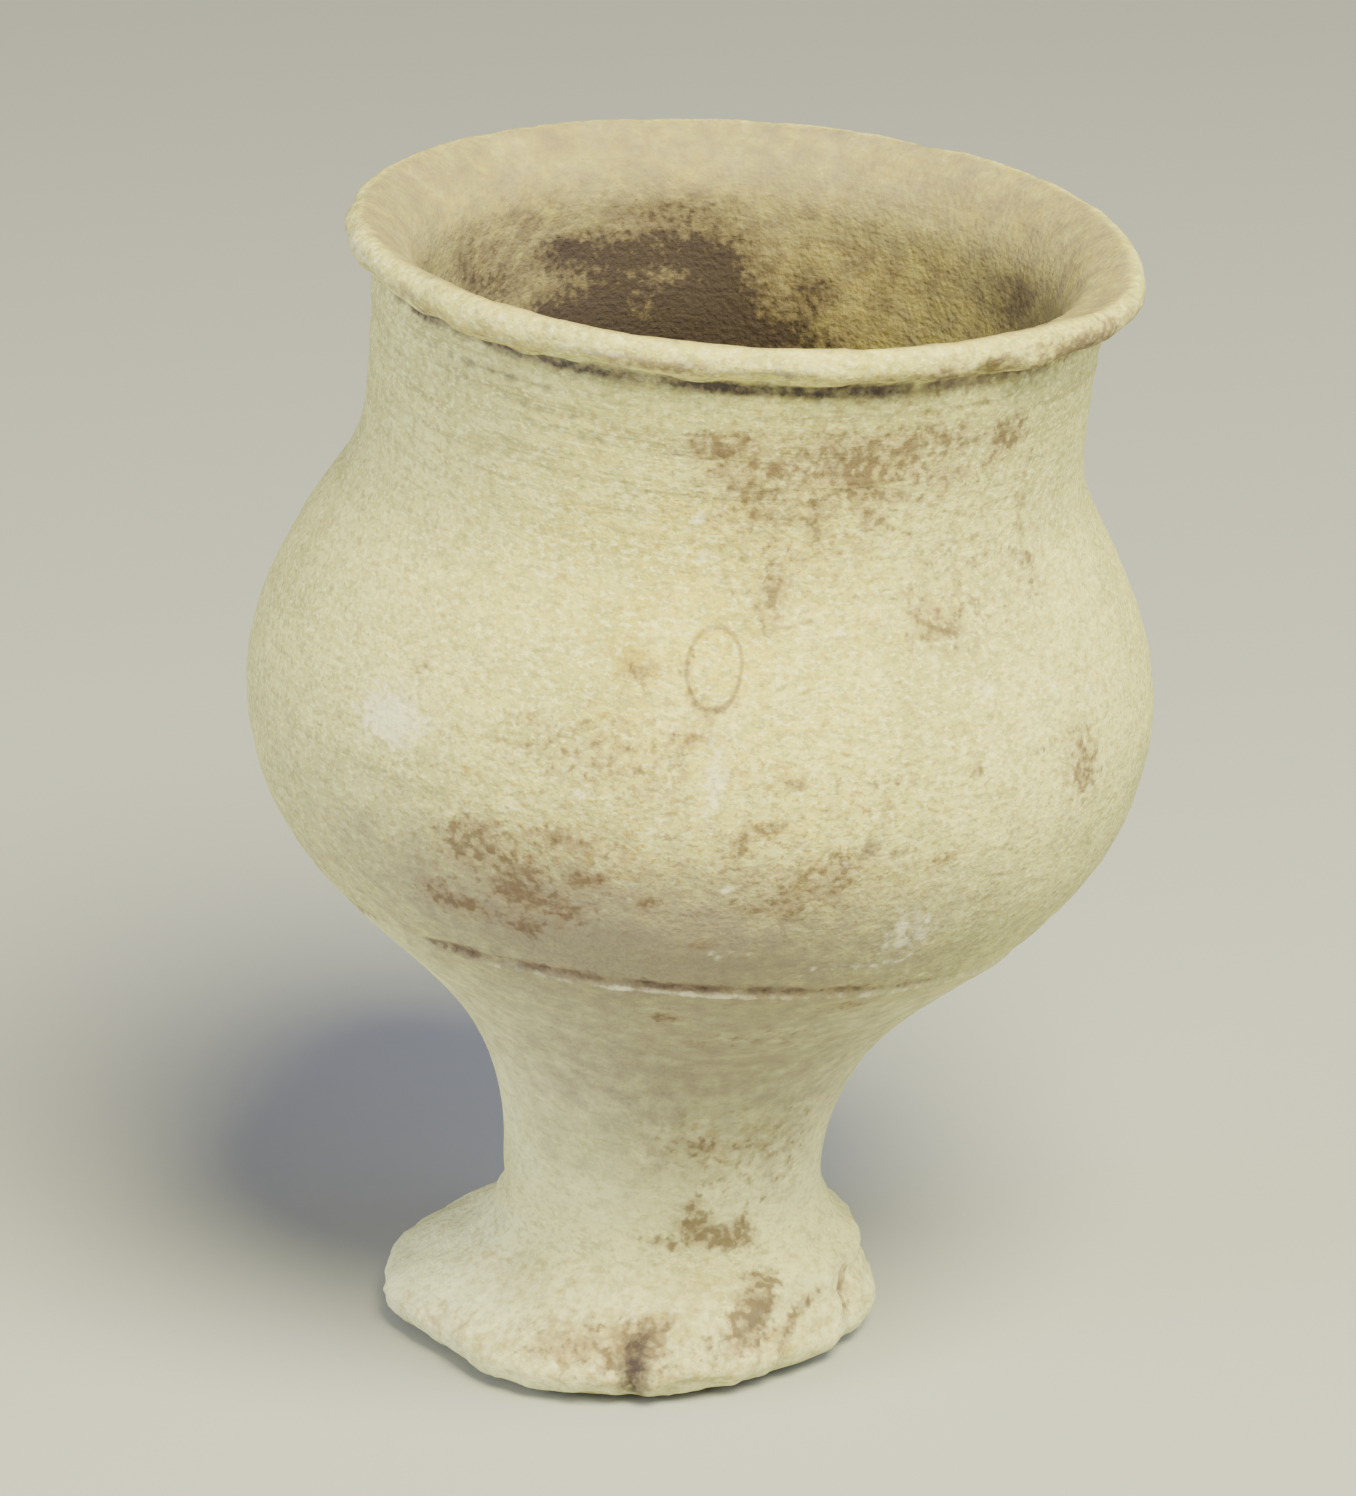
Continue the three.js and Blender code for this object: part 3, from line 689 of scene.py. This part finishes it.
# Then the stains, the painted shade and the painted highlight, broken up by noise of that size and
# strength: thin ones into specks, thick ones at their edges. A broad halo goes under a darker core, and
# the film of soil and painted shade stays soft.
for tint, name, size, uneven, low, high, strength in (
    (FILM_AND_SHADE, "film_and_shade", 1.6, 1.6, -0.10, 1.95, 0.86),
    (OCHRE, "ochre", 0.8, 2.4, 0.10, 1.10, 0.55),
    (RUST_HALO, "rust", 0.9, 2.4, 0.08, 1.00, 0.55),
    (RUST, "rust", 0.7, 3.2, 0.35, 1.20, 0.72),
    (LIME_AND_HIGHLIGHT, "pale", 0.7, 2.5, 0.25, 1.20, 0.62),
    (SOIL_AND_SHADE_HALO, "soil_and_shade", 1.1, 1.8, 0.05, 0.90, 0.72),
    (SOIL_AND_SHADE, "soil_and_shade", 0.6, 2.2, 0.55, 1.50, 0.90),
):
    sockets = {"Vector": upright, "Scale": 1 / (size * MM), "Detail": 3, "Roughness": 0.5}
    noise = lay(tree, "ShaderNodeTexNoise", sockets).outputs[0]
    swing = {0: noise, 1: uneven, 2: -uneven / 2}
    swing = lay(tree, "ShaderNodeMath", swing, operation="MULTIPLY_ADD").outputs[0]
    total = lay(tree, "ShaderNodeMath", {0: kept[name], 1: swing}, operation="ADD").outputs[0]
    limits = {0: total, 1: low, 2: high, 4: strength}
    cover = lay(tree, "ShaderNodeMapRange", limits, interpolation_type="SMOOTHSTEP").outputs[0]
    near = {0: kept[name], 1: 0.03, 2: 0.2}
    near = lay(tree, "ShaderNodeMapRange", near, interpolation_type="SMOOTHSTEP").outputs[0]
    cover = lay(tree, "ShaderNodeMath", {0: cover, 1: near}, operation="MULTIPLY").outputs[0]
    mixed = {0: cover, 6: colour, 7: linear(tint)}
    colour = lay(tree, "ShaderNodeMix", mixed, data_type="RGBA").outputs[2]

# The outline of the print, as a thin brown line
ring = {0: kept["print_ring"], 1: 0.88, 2: 0.98, 4: 0.5}
ring_in = lay(tree, "ShaderNodeMapRange", ring, interpolation_type="SMOOTHSTEP").outputs[0]
ring = {0: kept["print_ring"], 1: 1.13, 2: 1.03, 4: 1.0}
ring_out = lay(tree, "ShaderNodeMapRange", ring, interpolation_type="SMOOTHSTEP").outputs[0]
cover = lay(tree, "ShaderNodeMath", {0: ring_in, 1: ring_out}, operation="MULTIPLY").outputs[0]
mixed = {0: cover, 6: colour, 7: linear(RUST)}
colour = lay(tree, "ShaderNodeMix", mixed, data_type="RGBA").outputs[2]

# Bump from the sandy grain and the wheel lines
GRAIN_SIZE = 0.45
LINE_SIZE = 0.5
BUMP_HEIGHT = 0.2
sandy = {"Vector": spot, "Scale": 1 / (GRAIN_SIZE * MM), "Detail": 3}
grain = lay(tree, "ShaderNodeTexNoise", sandy).outputs[0]
ringed = {"Vector": combed, "Scale": 1 / (LINE_SIZE * MM), "Detail": 3}
lines = lay(tree, "ShaderNodeTexNoise", ringed).outputs[0]
lines = lay(tree, "ShaderNodeMath", {0: lines, 1: kept["lined"]}, operation="MULTIPLY").outputs[0]
rise = lay(tree, "ShaderNodeMath", {0: lines, 1: grain}, operation="ADD").outputs[0]
raised_by = {"Height": rise, "Strength": 0.8, "Distance": BUMP_HEIGHT * MM}
bump = lay(tree, "ShaderNodeBump", raised_by).outputs[0]
skin = lay(
    tree, "ShaderNodeBsdfPrincipled",
    {"Base Color": colour, "Roughness": 0.88, "Normal": bump, "IOR": 1.5, "Specular IOR Level": 0.25})
lay(tree, "ShaderNodeOutputMaterial", {"Surface": skin.outputs[0]})

goblet = bpy.data.objects.new("fired_clay_goblet", goblet_mesh)
bpy.context.scene.collection.objects.link(goblet)
goblet_mesh.materials.append(clay)
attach(goblet, "root")
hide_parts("goblet")

# The studio
# A plain pale floor, three soft lamps above and in front, and the camera at the height and angle
# of the photograph, with its lens worked out from the goblet's ellipses.
FLOOR_SIZE = 3.0
FLOOR_COLOUR = "#b2b5b9"
AIR_COLOUR = "#ecdffa"
AIR_LIGHT = 0.15
MIDDLE = (0, 0, 0.045)  # of the goblet

floor_form = bmesh.new()
bmesh.ops.create_grid(floor_form, x_segments=1, y_segments=1, size=FLOOR_SIZE / 2)
floor_mesh = bpy.data.meshes.new("studio_floor")
floor_form.to_mesh(floor_mesh)
floor_form.free()
floor = bpy.data.objects.new("studio_floor", floor_mesh)
bpy.context.scene.collection.objects.link(floor)
paper = bpy.data.materials.new("matt_studio_paper")
paper.use_nodes = True
paper.node_tree.nodes["Principled BSDF"].inputs["Base Color"].default_value = linear(FLOOR_COLOUR)
paper.node_tree.nodes["Principled BSDF"].inputs["Roughness"].default_value = 0.9
floor_mesh.materials.append(paper)


def soft_lamp(name, at, toward, size, watts, tint):
    """A round lamp with soft light, turned towards a point."""
    lamp = bpy.data.lights.new(name, "AREA")
    lamp.shape = "DISK"
    lamp.size = size
    lamp.energy = watts
    lamp.color = linear(tint)[:3]
    holder = bpy.data.objects.new(name, lamp)
    holder.location = at
    holder.rotation_euler = (Vector(toward) - Vector(at)).to_track_quat("-Z", "Y").to_euler()
    bpy.context.scene.collection.objects.link(holder)


soft_lamp("overhead_softbox", (0.20, -0.36, 0.66), MIDDLE, 0.42, 17.5, "#fbf4b8")
soft_lamp("left_fill", (-0.62, -0.22, 0.18), MIDDLE, 0.4, 4.5, "#eef2f8")
soft_lamp("right_fill", (0.68, -0.30, 0.44), MIDDLE, 0.5, 3.8, "#e6edff")
world = bpy.data.worlds.new("studio_air")
world.use_nodes = True
world.node_tree.nodes["Background"].inputs[0].default_value = linear(AIR_COLOUR)
world.node_tree.nodes["Background"].inputs[1].default_value = AIR_LIGHT
bpy.context.scene.world = world

CAMERA_AT = (0.0033, -0.560, 0.2569)
CAMERA_PITCH = math.radians(20.794)
CAMERA_YAW = math.radians(0.05)
FOCAL_PIXELS = 8319.4
LONG_SIDE_PIXELS = 1496
SENSOR = 36.0
camera_data = bpy.data.cameras.new("photo_camera")
camera_data.sensor_fit = "AUTO"
camera_data.sensor_width = SENSOR
camera_data.lens = FOCAL_PIXELS * SENSOR / LONG_SIDE_PIXELS
camera_data.clip_start = 0.05
camera_data.clip_end = 20
camera = bpy.data.objects.new("photo_camera", camera_data)
camera.location = CAMERA_AT
camera.rotation_euler = (math.pi / 2 - CAMERA_PITCH, 0, -CAMERA_YAW)
bpy.context.scene.collection.objects.link(camera)
bpy.context.scene.camera = camera
